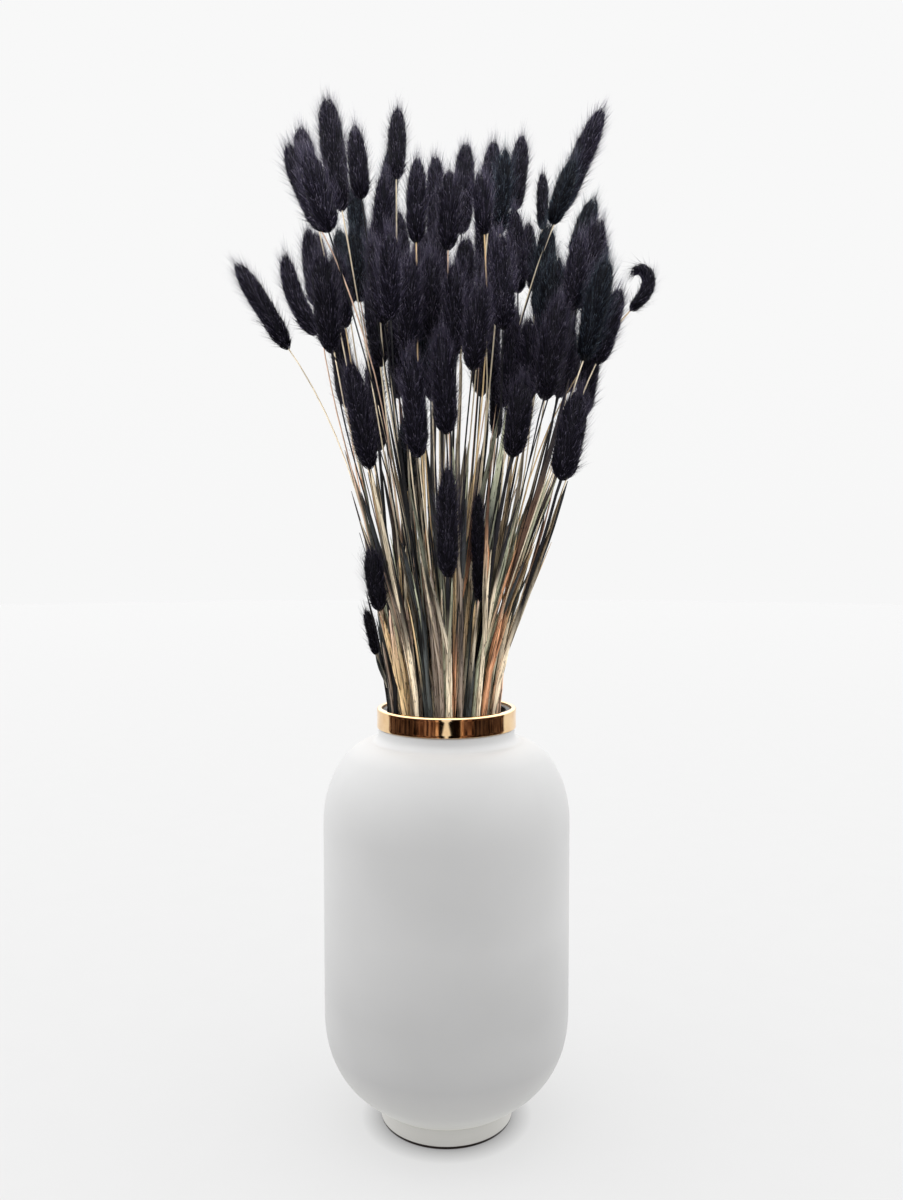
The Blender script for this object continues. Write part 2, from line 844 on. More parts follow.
@dataclass
class Turned:
    """A piece turned on a wheel or a lathe from a profile in radius and height."""

    steps: int = 128
    merge: float = 0.005
    sharp: float = math.radians(35.0)

    def turn(self, name: str, profile: list[Pair]) -> bpy.types.Object:
        """Spins a profile round the Z axis.

        Args:
            name: the piece's name.
            profile: radius and height of each point, so that the solid lies to its left.

        Returns:
            The turned object, with its doubles merged and its faces pointing out.
        """
        begin()
        bpy.ops.mesh.primitive_circle_add(vertices=len(profile), radius=1.0)
        mesh = bpy.context.object.data
        for vertex, (radius, height) in zip(mesh.vertices, profile):
            vertex.co = (radius * MM, 0.0, height * MM)
        bpy.ops.object.mode_set(mode="EDIT")
        bpy.ops.mesh.select_all(action="SELECT")
        bpy.ops.mesh.spin(steps=self.steps, angle=2.0 * math.pi, center=(0, 0, 0), axis=(0, 0, 1))
        bpy.ops.mesh.select_all(action="SELECT")
        bpy.ops.mesh.remove_doubles(threshold=self.merge * MM)
        bpy.ops.mesh.dissolve_degenerate(threshold=0.4 * self.merge * MM)
        bpy.ops.mesh.select_all(action="SELECT")
        bpy.ops.mesh.normals_make_consistent(inside=False)
        made = finished(name)
        begin()
        made.select_set(True)
        bpy.context.view_layer.objects.active = made
        bpy.ops.object.shade_smooth_by_angle(angle=self.sharp)
        return made


@dataclass
class VaseBody(Turned):
    """The hollow vase on its short foot."""

    radius: float = 75.0
    wall: float = 4.0
    soft: float = 0.4
    foot_radius: float = 40.5
    foot_top_radius: float = 42.5
    foot_height: float = 15.0
    foot_edge: float = 1.5
    foot_round: float = 0.45
    foot_lip: tuple[Pair, Pair] = ((0.35, 0.6), (0.5, 1.6))
    belly_top: float = 71.5
    belly_power: float = 2.376
    shoulder_start: float = 186.0
    shoulder_end: float = 235.0
    neck_fillet: float = 5.0
    fillet_gap: float = 0.5
    neck_radius: float = 41.5
    floor_height: float = 9.0
    floor_radius: float = 33.0
    mouth_radius: float = 36.0
    seat_radius: float = 39.1
    seat_height: float = 242.7
    rim_height: float = 253.4
    outer_points: int = 26
    belly_points: int = 12
    shoulder_points: int = 10
    fillet_points: int = 8
    finish: MattGlaze = field(default_factory=MattGlaze)

    def belly(self, radius: float, end: Pair, points: int) -> list[Pair]:
        """The full lower curve, from the straight wall down.

        Args:
            radius: the wall's radius.
            end: the radius and height where it ends.
            points: how many points it has.

        Returns:
            Radius and height of each point.
        """
        power = 2.0 / self.belly_power
        low = math.asin((end[0] / radius) ** (1.0 / power))
        drop = (self.belly_top - end[1]) / math.cos(low) ** power
        return [
            (radius * math.sin(a) ** power, self.belly_top - drop * max(0.0, math.cos(a)) ** power)
            for a in angles(points, 0.5 * math.pi, low)
        ]

    def shoulder(self, wall: float, neck: float, top: float, points: int) -> list[Pair]:
        """The quarter round from the neck out and down to the straight wall.

        Args:
            wall: the wall's radius.
            neck: the neck's radius.
            top: the height where it meets the neck.
            points: how many points it has.

        Returns:
            Radius and height of each point.
        """
        start, rise = self.shoulder_start, top - self.shoulder_start
        return [
            (neck + (wall - neck) * math.sin(a), start + rise * math.cos(a)) for a in angles(points)
        ]

    def fillet(self) -> list[Pair]:
        """The hollow round that leads the neck out into the top of the shoulder.

        Returns:
            Radius and height of each point.
        """
        rise = self.shoulder_end - self.shoulder_start
        share = self.neck_fillet / (self.radius - self.neck_radius)
        height = self.shoulder_start + rise * math.sqrt(1.0 - share**2)
        size = self.neck_fillet
        return [
            (self.neck_radius + size * (1.0 - math.cos(a)), height + size * (1.0 - math.sin(a)))
            for a in angles(self.fillet_points)
        ]

    def build(self) -> bpy.types.Object:
        """Turns the vase and glazes it.

        Returns:
            The vase.
        """
        inner = self.radius - self.wall
        floor, foot = (self.floor_radius, self.floor_height), (self.foot_top_radius, self.foot_height)
        top = self.shoulder_end - self.wall
        profile = [(0.0, self.floor_height)]
        profile += self.belly(inner, floor, self.belly_points)[::-1]
        profile += self.shoulder(inner, self.mouth_radius, top, self.shoulder_points)[::-1]
        profile += [
            (self.mouth_radius, self.rim_height - self.soft),
            (self.mouth_radius + self.soft, self.rim_height),
            (self.seat_radius - self.soft, self.rim_height),
            (self.seat_radius, self.rim_height - self.soft),
            (self.seat_radius, self.seat_height),
            (self.neck_radius - self.soft, self.seat_height),
            (self.neck_radius, self.seat_height - self.soft),
        ]
        profile += self.fillet()
        nearest = self.neck_radius + self.neck_fillet + self.fillet_gap
        shoulder = self.shoulder(self.radius, self.neck_radius, self.shoulder_end, self.outer_points)
        profile += [point for point in shoulder if point[0] > nearest]
        profile += self.belly(self.radius, foot, self.outer_points)
        profile += [(foot[0] - inward, foot[1] - down) for inward, down in self.foot_lip]
        profile += [
            (self.foot_radius, self.foot_edge),
            (self.foot_radius - self.foot_round, self.foot_round * self.foot_edge),
            (self.foot_radius - self.foot_edge, 0.0),
            (0.0, 0.0),
        ]
        made = self.turn("white_vase", profile)
        made.data.materials.append(self.finish.material())
        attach(made, BODY)
        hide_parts("vase_body")
        return made


@dataclass
class Collar(Turned):
    """The polished ring round the mouth, a rolled strip with softened edges."""

    inner_radius: float = 39.4
    outer_radius: float = 42.5
    bottom: float = 243.0
    top: float = 255.0
    soft: float = 0.4
    edge: float = 1.2
    foot_edge: float = 0.4
    foot_round: float = 0.3
    bow: float = 0.12
    edge_points: int = 5
    face_points: int = 7
    finish: PolishedBrass = field(default_factory=PolishedBrass)

    def build(self) -> bpy.types.Object:
        """Turns the collar and polishes it.

        Returns:
            The collar.
        """
        out, low = self.outer_radius, self.bottom
        profile = [(self.inner_radius + self.soft, self.top)]
        profile += [
            (out - self.edge * (1.0 - math.sin(a)), self.top - self.edge * (1.0 - math.cos(a)))
            for a in angles(self.edge_points)
        ]
        span = self.top - low - self.edge - self.foot_edge
        for share in (index / self.face_points for index in range(1, self.face_points)):
            bowed = out - self.bow * 4.0 * share * (1.0 - share)
            profile.append((bowed, self.top - self.edge - span * share))
        profile += [
            (out, low + self.foot_edge),
            (out - self.foot_round * self.foot_edge, low + self.foot_round * self.foot_edge),
            (out - self.foot_edge, low),
            (self.inner_radius, low),
            (self.inner_radius, self.top - self.soft),
        ]
        made = self.turn("gold_collar", profile)
        made.data.materials.append(self.finish.material())
        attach(made, BODY)
        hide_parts("collar_ring")
        return made


# The grasses


@dataclass
class CurledHead:
    """The one thin head that hooks over at the right of the bunch, in the front view."""

    length: float = 37.0
    heading: float = math.radians(43.0)
    turn: float = math.radians(-205.0)
    power: float = 3.0
    steps: int = 24
    reach: float = 4.3

    def axis(self, base: np.ndarray) -> np.ndarray:
        """Draws the hook.

        Args:
            base: where it starts.

        Returns:
            The points along it from its base.
        """
        points = [base]
        for step in range(self.steps):
            bend = self.heading + self.turn * ((step + 0.5) / self.steps) ** self.power
            move = np.array([math.sin(bend), 0.0, math.cos(bend)]) * self.length / self.steps
            points.append(points[-1] + move)
        return np.array(points)


@dataclass(frozen=True)
class Coat:
    """One kind of hair on a head.

    count is for a head of the usual area; the ranges are in millimetres and degrees; bright is
    how light the hairs are, with its spread; start is how low on the head they begin, as a
    share of its length; crowding draws them to its tip. Real hairs are more and finer, and are
    drawn as coarse as they need to show.
    """

    count: int
    length: Pair
    half_width: Pair
    lean: Pair
    bright: Pair
    start: float = 0.0
    crowding: float = 1.0
    sway: float = 0.1


@dataclass
class SeedHeads:
    """The black heads: a dark core, a coat of fine bristles and a halo of long awns.

    A head is drawn in to its base by base_round, even along its middle and rounded to its tip
    from tip_round on. Its hairs stand in locks that lean and shine together.
    """

    core_share: float = 0.86
    core_shade: float = 0.06
    fullness: float = 1.04
    usual_area: float = 1900.0
    base_round: Pair = (0.26, 2.0)
    tip_round: Pair = (0.5, 2.3)
    coat: Coat = Coat(900, (3.0, 5.4), (0.15, 0.25), (10.0, 25.0), (0.17, 0.11), sway=0.2)
    flecks: Coat = Coat(420, (1.8, 3.8), (0.15, 0.25), (16.0, 32.0), (0.9, 0.16), sway=0.34)
    side_hairs: Coat = Coat(400, (6.5, 12.0), (0.065, 0.1), (20.0, 46.0), (0.75, 0.15), 0.03)
    awns: Coat = Coat(120, (9.0, 16.0), (0.055, 0.08), (8.0, 36.0), (0.85, 0.12), 0.15, 1.5)
    bowed_awns: Coat = Coat(40, (10.0, 18.0), (0.055, 0.08), (4.0, 24.0), (0.85, 0.12), 0.3, 1.5)
    awn_bow: float = 0.14
    last_root: float = 0.985
    root_depth: float = 0.93
    thin_head: Pair = (0.35, 9.0)
    low_hairs: Pair = (0.12, 0.75)
    slope_step: float = 0.02
    steepest: Pair = (-34.0, 20.0)
    lock_lean: float = 0.09
    lock_shine: float = 0.07
    darkest: float = 0.04
    taper: Pair = (-0.12, 0.3)
    light_heights: Pair = (320.0, 530.0)
    light_range: Pair = (0.58, 1.35)
    light_spread: Pair = (0.82, 1.18)
    teal_share: float = 0.2
    teal: tuple[float, ...] = (0.6, 0.85, 0.85, 1.0)
    violet: tuple[float, ...] = (1.0, 0.97, 1.08, 1.0)
    finish: DyedBristle = field(default_factory=DyedBristle)

    def __post_init__(self) -> None:
        """Models the core, the bristle and the awn, once each.

        The core is a sphere, kept as a direction from its axis and a share of its height.
        """
        core = modelled(bpy.ops.mesh.primitive_uv_sphere_add, {}, segments=12, ring_count=14, radius=1.0)
        share = 0.5 + np.arcsin(np.clip(core.points[:, 2], -1.0, 1.0)) / math.pi
        flat = np.linalg.norm(core.points[:, :2], axis=1)
        flat = np.where(flat > 1e-6, flat, 1.0)
        core.points = np.column_stack([core.points[:, :2] / flat[:, None], share])
        spike = {"vertices": 3, "radius1": 1.0, "depth": 1.0, "location": (0, 0, 0.5)}
        self.core = core
        self.bristle = modelled(bpy.ops.mesh.primitive_cone_add, {}, **spike)
        self.awn = modelled(bpy.ops.mesh.primitive_cone_add, {2: 1}, **spike)
        self.awn.bow = self.awn_bow * self.awn.points[:, 2] ** 2
        self.material = self.finish.material()

    def hairs(
        self,
        line: Line,
        kind: Coat,
        outline: Callable[[np.ndarray], np.ndarray],
        size: float,
        rng: Rng,
    ) -> tuple[Shape, np.ndarray]:
        """Sets one kind of hair round a head's line.

        Args:
            line: the head's middle line.
            kind: the kind of hair.
            outline: gives the head's half width at a share of its line.
            size: the head's area, in usual areas.
            rng: the source of all that varies.

        Returns:
            The hairs as one shape, and how light each point is.
        """
        shape = self.awn if kind is self.bowed_awns else self.bristle
        count = max(3, int(kind.count * size))
        share = kind.start + (self.last_root - kind.start) * rng.random(count) ** (1.0 / kind.crowding)
        shorter = min(1.0, self.thin_head[0] + float(outline(0.4)) / self.thin_head[1])
        length = rng.uniform(*kind.length, count) * shorter
        length *= np.where(share < self.low_hairs[0], self.low_hairs[1], 1.0)
        half_width = rng.uniform(*kind.half_width, count)
        rise = outline(share + self.slope_step) - outline(share - self.slope_step)
        slope = np.degrees(np.arctan(rise / (2.0 * self.slope_step * line.length)))
        lean = np.radians(rng.uniform(*kind.lean, count) + np.clip(slope, *self.steepest))
        angle = rng.uniform(0.0, 2.0 * math.pi, count)
        centre, side, front, along = line.at(share)
        out = side * np.cos(angle)[:, None] + front * np.sin(angle)[:, None]
        around = np.cross(along, out)
        root = centre + out * (self.root_depth * self.core_share * outline(share))[:, None]
        lock = np.sin(4.0 * angle + 11.0 * share + rng.uniform(0.0, 6.0))
        sway = self.lock_lean * lock + rng.normal(0.0, kind.sway, count)
        aim = along * np.cos(lean)[:, None] + out * np.sin(lean)[:, None] + around * sway[:, None]
        aim /= np.linalg.norm(aim, axis=1)[:, None]
        flat = np.cross(aim, out)
        flat /= np.linalg.norm(flat, axis=1)[:, None]
        spike = shape.points
        ways = [(aim, spike[:, 2], length), (flat, spike[:, 0], half_width)]
        ways.append((np.cross(flat, aim), spike[:, 1], half_width))
        if shape.bow is not None:
            ways.append((out, shape.bow, length))
        placed = root[:, None, :] + sum(
            way[:, None, :] * (own[None, :] * scale[:, None])[:, :, None] for way, own, scale in ways
        )
        bright = rng.normal(*kind.bright, count) + self.lock_shine * lock
        lighter = 0.5 + 0.5 * spike[:, 2]
        shade = np.clip(bright, self.darkest, 1.0)[:, None] * lighter[None, :]
        return shape.copies(placed), shade.ravel()

    def head(self, grass: Grass, rng: Rng) -> tuple[Shape, np.ndarray, np.ndarray]:
        """Grows one head.

        Args:
            grass: the grass that carries it.
            rng: the source of all that varies.

        Returns:
            The head's shape, how light each point is, and the dye's tint at each point.
        """
        line = Line(grass.head)
        reach = self.fullness * grass.head_reach
        taper = rng.uniform(*self.taper)

        def outline(share: np.ndarray) -> np.ndarray:
            """The head's half width, a little fuller towards its tip or its base."""
            base = 1.0 - np.maximum(0.0, 1.0 - share / self.base_round[0]) ** self.base_round[1]
            past = np.maximum(0.0, (share - self.tip_round[0]) / (1.0 - self.tip_round[0]))
            swell = np.sqrt(np.maximum(0.0, base * (1.0 - past ** self.tip_round[1])))
            return reach * swell * (1.0 + taper * (share - 0.5))

        core = line.sweep(self.core, lambda share: self.core_share * outline(share))
        size = 2.0 * math.pi * reach * line.length / self.usual_area
        grown = [(core, np.full(len(core.points), self.core_shade))]
        for kind in (self.coat, self.flecks, self.side_hairs, self.awns, self.bowed_awns):
            grown.append(self.hairs(line, kind, outline, size, rng))
        shade = np.concatenate([row[1] for row in grown])
        tint = np.array(self.teal if rng.random() < self.teal_share else self.violet)
        light = np.interp(float(grass.head[:, 2].mean()), self.light_heights, self.light_range)
        tint[:3] *= rng.uniform(*self.light_spread) * light
        return joined([row[0] for row in grown]), shade, np.tile(tint, (len(shade), 1))

    def build(self, node: str, grasses: list[Grass], rng: Rng) -> bpy.types.Object:
        """Grows the heads of one node.

        Args:
            node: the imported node.
            grasses: its grasses.
            rng: the source of all that varies.

        Returns:
            The heads as one piece.
        """
        grown = [self.head(grass, rng) for grass in grasses]
        made = add_piece(f"heads_{node[-2:]}", joined([row[0] for row in grown]), self.material)
        mark_points(made, "shade", np.concatenate([row[1] for row in grown]))
        mark_points(made, "dye", np.vstack([row[2] for row in grown]))
        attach(made, BODY)
        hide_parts(node)
        return made


@dataclass(frozen=True)
class Toning:
    """How one part of a culm is coloured.

    low gives way to high at the height change; dye is how black the heads' dye has made it above
    the height dye_from, within dye_span; wear is how strongly ribs, smears and specks show.
    """

    low: Straw
    high: Straw
    change: float
    dye: float = 0.0
    dye_from: float = 300.0
    dye_span: float = 30.0
    wear: float = 1.0


Keep = Callable[[Shape, Toning], None]


@dataclass(frozen=True)
class Strap:
    """A loose dark sheath: where it passes the mouth, its tip, half its width and its tone."""

    mouth: Pair
    tip: tuple[float, float, float]
    half_width: float
    tone: Straw


@dataclass
class Culms:
    """The stems with their dried sheaths, leaf strips and blades.

    A row of colours is given for the front of the bunch by where a culm passes the mouth, and
    the others are drawn with the odds of Straw's colours, outside and inside the bunch. Culms
    left of left_edge and those that end below short are dark.
    """

    stem_reach: float = 0.42
    stem_wave: Pair = (0.1, 40.0)
    stem_wear: float = 0.45
    stout_reach: float = 0.95
    stout_girth: Pair = (0.85, 1.2)
    usual_girth: float = 0.55
    sheath_girth: float = 0.9
    sheath_swell: float = 1.6
    sheath_span: Pair = (240.0, 290.0)
    sheath_flat: Pair = (0.6, 0.85)
    usual_sheath: float = 300.0
    seen_from: float = 236.0
    pale_odds: tuple[float, ...] = (0.6, 0.18, 0.22)
    dark_stems: Pair = (0.6, 0.34)
    bundle_reach: float = 33.0
    inner_share: float = 0.62
    front_share: float = 0.42
    left_edge: float = -29.5
    short: float = 300.0
    short_loose: float = 0.2
    front_row: tuple[tuple[float, Straw], ...] = (
        (-21.0, Straw.WHEAT), (-14.3, Straw.GREY_BROWN), (-8.2, Straw.CHARCOAL), (-5.3, Straw.CREAM),
        (-1.5, Straw.GREY_BROWN), (1.5, Straw.PALE_GREEN), (6.4, Straw.SALMON), (10.0, Straw.GREY_BROWN),
        (14.9, Straw.CHARCOAL), (17.5, Straw.PALE_GREEN), (19.8, Straw.GREY_BROWN), (26.0, Straw.SALMON),
        (math.inf, Straw.CREAM),
    )
    outer_odds: tuple[float, ...] = (0.28, 0.14, 0.14, 0.15, 0.1, 0.07, 0.08, 0.04)
    inner_odds: tuple[float, ...] = (0.14, 0.07, 0.08, 0.12, 0.05, 0.1, 0.22, 0.22)
    dyed_share: float = 0.68
    heavy_dye: Pair = (0.6, 0.96)
    light_dye: Pair = (0.0, 0.25)
    dye_starts: Pair = (252.0, 350.0)
    dye_spans: Pair = (10.0, 45.0)
    dye_colour: str = "#1F1F27"
    tone_span: float = 30.0
    shade_spread: Pair = (0.82, 1.12)
    band_depth: float = 0.12
    band_lengths: Pair = (9.0, 22.0)
    leaves: int = 4
    leaf_top: float = 320.0
    leaf_steps: Pair = (20.0, 15.0)
    leaf_length: Pair = (45.0, 120.0)
    shortest_leaf: float = 25.0
    leaf_away: Pair = (0.6, 3.6)
    leaf_drift: float = 5.2
    leaf_width: Pair = (0.7, 2.1)
    leaf_half_thick: float = 0.12
    leaf_power: float = 2.2
    narrow_root: Pair = (0.03, 0.28)
    blade_half: Pair = (1.7, 0.2)
    blade_power: float = 2.6
    blade_change: float = 300.0
    blade_dye: float = 0.5
    strap_half_thick: float = 0.2
    strap_power: float = 5.0
    strap_dye: float = 0.3
    strap_root: float = 190.0
    straps: tuple[Strap, ...] = (
        Strap((-34.3, -4.0), (-48.5, -6.0, 326.0), 1.0, Straw.INK),
        Strap((-32.6, -9.0), (-41.5, -12.0, 318.0), 1.5, Straw.CHARCOAL),
        Strap((-30.0, -14.0), (-35.5, -20.0, 332.0), 1.4, Straw.INK),
        Strap((-31.2, -12.0), (-38.0, -17.0, 296.0), 1.3, Straw.GREY_BROWN),
        Strap((-33.6, 5.0), (-43.0, 6.0, 308.0), 1.2, Straw.CHARCOAL),
    )
    line_points: int = 24
    finish: DriedCulm = field(default_factory=DriedCulm)

    def __post_init__(self) -> None:
        """Models the stem, the sheath and the leaf, once each.

        The leaf is keeled along its middle: X across it, Y through it and Z along it.
        """
        middle = (0, 0, 0.5)
        tube = {"radius": 1.0, "depth": 1.0, "location": middle}
        self.stem = modelled(bpy.ops.mesh.primitive_cylinder_add, {2: 28}, vertices=7, **tube)
        self.sheath = modelled(bpy.ops.mesh.primitive_cylinder_add, {2: 18}, vertices=8, **tube)
        self.leaf = modelled(bpy.ops.mesh.primitive_cube_add, {0: 1, 2: 12}, size=1.0, location=middle)
        self.leaf.points[:, :2] *= 2.0
        self.material = self.finish.material()

    def drawn(self, inner: bool, rng: Rng) -> Straw:
        """One of the straws by chance: most of them pale outside the bunch, and dark inside it."""
        kinds = list(Straw)
        return kinds[int(rng.choice(len(kinds), p=self.inner_odds if inner else self.outer_odds))]

    def tone(self, grass: Grass, inner: bool, rng: Rng) -> Straw:
        """Chooses the colour of a grass's sheath.

        Args:
            grass: the grass.
            inner: whether it stands inside the bunch.
            rng: the source of all that varies.

        Returns:
            The colour.
        """
        drawn = self.drawn(inner, rng)
        x, y = grass.mouth
        if grass.culm[-1, 2] < self.short:
            return Straw.INK
        if x < self.left_edge:
            return Straw.INK if drawn in (Straw.CREAM, Straw.WHEAT) else Straw.CHARCOAL
        if y < -self.front_share * math.sqrt(max(0.0, self.bundle_reach**2 - x * x)):
            return next(tone for edge, tone in self.front_row if x < edge)
        return drawn

    def dyed(self, low: Straw, high: Straw, change: float, rng: Rng) -> Toning:
        """A part's colours, with the dye that has run down it in most cases."""
        dye = rng.uniform(*(self.heavy_dye if rng.random() < self.dyed_share else self.light_dye))
        return Toning(low, high, change, dye, rng.uniform(*self.dye_starts), rng.uniform(*self.dye_spans))

    def colour_points(self, shape: Shape, toning: Toning, rng: Rng) -> np.ndarray:
        """Colours a part of a culm from its lower tone to its upper one, and with the dye over both.

        Args:
            shape: the part.
            toning: its colours.
            rng: the source of all that varies.

        Returns:
            A colour for each point, whose fourth channel is the part's wear.
        """
        height = shape.points[:, 2]
        blend = np.clip((height - toning.change) / self.tone_span + 0.5, 0.0, 1.0)[:, None]
        low, high, dye = (
            np.array(linear(code)) for code in (toning.low.value, toning.high.value, self.dye_colour)
        )
        mixed = (low * (1.0 - blend) + high * blend) * rng.uniform(*self.shade_spread)
        band = rng.uniform(*self.band_lengths)
        wave = 1.0 + self.band_depth * np.sin(height / band + rng.uniform(0, 6))
        run = toning.dye * np.clip((height - toning.dye_from) / toning.dye_span, 0.0, 1.0)[:, None]
        mixed = mixed * wave[:, None] * (1.0 - run) + dye * run
        mixed[:, 3] = toning.wear
        return mixed

    def culm(self, grass: Grass, rng: Rng) -> tuple[Shape, np.ndarray, np.ndarray]:
        """Grows one culm.

        Args:
            grass: the grass that it carries.
            rng: the source of all that varies.

        Returns:
            The culm's shape, and a colour and a place in the grain for each point.
        """
        line = Line(grass.culm)
        heights = grass.culm[:, 2]
        top = heights[-1]
        above = grass.girth[heights > 0.5 * (self.seen_from + top)]
        thin = float(np.median(above)) if len(above) else self.usual_girth
        stout = self.stout_girth[0] < thin < self.stout_girth[1]
        stem_reach = self.stout_reach if stout else self.stem_reach
        sleeved = heights[(grass.girth > self.sheath_girth) & (heights < top - 6.0)]
        sheath_top = float(sleeved.max()) if len(sleeved) and not stout else self.usual_sheath
        sheath_top = min(sheath_top, top - 8.0)
        inner = bool(np.linalg.norm(grass.mouth) < self.inner_share * self.bundle_reach)
        tone = Straw.CREAM if stout else self.tone(grass, inner, rng)
        pale = rng.choice(np.array([Straw.CREAM, Straw.WHEAT, Straw.ROSE]), p=self.pale_odds)
        left = grass.mouth[0] < self.left_edge
        dark_odds = self.dark_stems[0 if left else 1] if top > self.short else 1.0
        pale = Straw.INK if stout or rng.random() < dark_odds else pale
        parts, colours, grains = [], [], []

        def keep(shape: Shape, toning: Toning) -> None:
            """Adds a part of the culm with its colours."""
            parts.append(shape)
            colours.append(self.colour_points(shape, toning, rng))
            grains.append(shape.grain + rng.uniform(0.0, 1000.0, 3))

        wobble = rng.uniform(0.0, 6.0)
        rough, often = self.stem_wave
        keep(
            line.sweep(self.stem, lambda s: stem_reach * (1.0 + rough * np.sin(often * s + wobble))),
            Toning(tone, pale, sheath_top, wear=self.stem_wear),
        )
        low, high = self.sheath_span
        girth = float(np.median(grass.girth[(heights > low) & (heights < high)]) * self.sheath_swell)
        own = self.sub_line(line, heights, self.seen_from, sheath_top)
        turn = rng.uniform(0.0, math.pi)
        flat = rng.uniform(*self.sheath_flat)

        def sleeve(share: np.ndarray) -> np.ndarray:
            """A sheath's half widths: flattened, and closing on the culm at its top."""
            close = 1.0 - 0.78 * np.clip((share - 0.8) / 0.2, 0.0, 1.0) ** 1.3
            uneven = 1.0 + 0.07 * np.sin(23.0 * share + wobble)
            return np.column_stack([girth * close * uneven, flat * girth * close * uneven])

        keep(own.sweep(self.sheath, sleeve, turn), self.dyed(tone, tone, sheath_top, rng))
        self.add_leaves(line, heights, (sheath_top, girth), (tone, inner), keep, rng)
        if grass.blade is not None:
            self.add_blade(grass.blade, tone, keep)
        if grass.at_edge:
            self.add_straps(grass, keep, rng)
        return joined(parts), np.vstack(colours), np.vstack(grains)

    def sub_line(self, line: Line, heights: np.ndarray, low: float, high: float) -> Line:
        """The part of a culm's line between two heights."""
        shares = np.interp(np.linspace(low, high, self.line_points), heights, line.shares)
        return Line(line.at(shares)[0])

    def strip(self, line: Line, half: Pair, power: float, turn: float) -> Shape:
        """Bends the leaf along a line.

        Args:
            line: the line.
            half: half its width and half its thickness.
            power: how late it narrows to its tip.
            turn: how far it is turned round the line, in radians.

        Returns:
            The strip, narrow where it leaves the sheath and pointed at its tip.
        """

        def reach(share: np.ndarray) -> np.ndarray:
            """The strip's half widths."""
            root = np.minimum(1.0, self.narrow_root[0] + share / self.narrow_root[1])
            pointed = np.sqrt(np.maximum(0.003, (1.0 - share**power) * root))
            return np.column_stack([half[0] * pointed, np.full(len(share), half[1])])

        return line.sweep(self.leaf, reach, turn)

    def add_leaves(
        self,
        line: Line,
        heights: np.ndarray,
        sheath: Pair,
        colour: tuple[Straw, bool],
        keep: Keep,
        rng: Rng,
    ) -> None:
        """Lays dried leaf strips along a culm, rooted in its sheath and close against it.

        Args:
            line: the culm's middle line.
            heights: the height of each of the line's points.
            sheath: where the sheath ends, and its half width.
            colour: the sheath's tone, and whether the culm stands inside the bunch.
            keep: takes each strip with its colours.
            rng: the source of all that varies.
        """
        sheath_top, girth = sheath
        tone, inner = colour
        short = heights[-1] < self.short
        loose = self.short_loose if short else 1.0
        shares = np.linspace(0.0, 1.0, self.line_points)
        up, past = self.leaf_steps
        for number in range(self.leaves):
            highest = min(self.leaf_top + up * number, sheath_top + past * number)
            start = rng.uniform(self.seen_from, highest)
            end = min(start + rng.uniform(*self.leaf_length), heights[-1] - 4.0)
            if end - start < self.shortest_leaf:
                continue
            centre, side, front, _ = self.sub_line(line, heights, start, end).at(shares)
            angle = rng.uniform(0.0, 2.0 * math.pi)
            away = loose * rng.uniform(*self.leaf_away)
            offset = girth * 0.75 + away * shares**1.6
            drift = loose * rng.normal(0.0, self.leaf_drift) * shares**1.3
            out = side * math.cos(angle) + front * math.sin(angle)
            around = front * math.cos(angle) - side * math.sin(angle)
            own = Line(centre + out * offset[:, None] + around * drift[:, None])
            half = (rng.uniform(*self.leaf_width), self.leaf_half_thick)
            grown = self.strip(own, half, self.leaf_power, angle + math.pi / 2 + rng.uniform(-0.5, 0.5))
            drawn = self.drawn(inner, rng)
            high = Straw.CHARCOAL if short else drawn
            keep(grown, self.dyed(tone, high, 0.5 * (start + end), rng))

    def add_blade(self, path: np.ndarray, tone: Straw, keep: Keep) -> None:
        """Grows the dried blade that stands off an outer culm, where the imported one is.

        Args:
            path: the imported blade's middle line, from its root up.
            tone: the sheath's tone.
            keep: takes the blade with its colours.
        """
        line = Line(path)
        outward = path[len(path) // 2, :2]
        _, side, front, _ = line.at(np.array([0.5]))
        facing = math.atan2(float(front[0, :2] @ outward), float(side[0, :2] @ outward))
        low = Straw.CHARCOAL if path[-1, 0] < self.left_edge else tone
        blade = self.strip(line, self.blade_half, self.blade_power, facing + math.pi / 2)
        keep(blade, Toning(low, Straw.CHARCOAL, self.blade_change, self.blade_dye))

    def add_straps(self, grass: Grass, keep: Keep, rng: Rng) -> None:
        """Grows the loose dark sheaths at the left edge, from one culm inside the vase.

        Args:
            grass: the grass at the left edge of the mouth.
            keep: takes each strap with its colours.
            rng: the source of all that varies.
        """
        for strap in self.straps:
            known = [self.strap_root, GrassReader.MOUTH, strap.tip[2]]
            heights = np.linspace(self.strap_root, strap.tip[2], self.line_points)
            root = grass.at_height(self.strap_root)
            plan = [
                np.polyval(np.polyfit(known, [root[k], strap.mouth[k], strap.tip[k]], 2), heights)
                for k in (0, 1)
            ]
            half = (strap.half_width, self.strap_half_thick)
            own = Line(np.column_stack([*plan, heights]))
            grown = self.strip(own, half, self.strap_power, rng.uniform(-0.4, 0.4))
            keep(grown, Toning(strap.tone, strap.tone, strap.tip[2], self.strap_dye))

    def build(self, node: str, grasses: list[Grass], rng: Rng) -> bpy.types.Object:
        """Grows the culms of one node.

        Args:
            node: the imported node.
            grasses: its grasses.
            rng: the source of all that varies.

        Returns:
            The culms as one piece.
        """
        grown = [self.culm(grass, rng) for grass in grasses]
        made = add_piece(f"culms_{node[-2:]}", joined([row[0] for row in grown]), self.material)
        mark_points(made, "tint", np.vstack([row[1] for row in grown]))
        mark_points(made, "grain", np.vstack([row[2] for row in grown]))
        made.data.shade_smooth()
        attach(made, BODY)
        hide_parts(node)
        return made


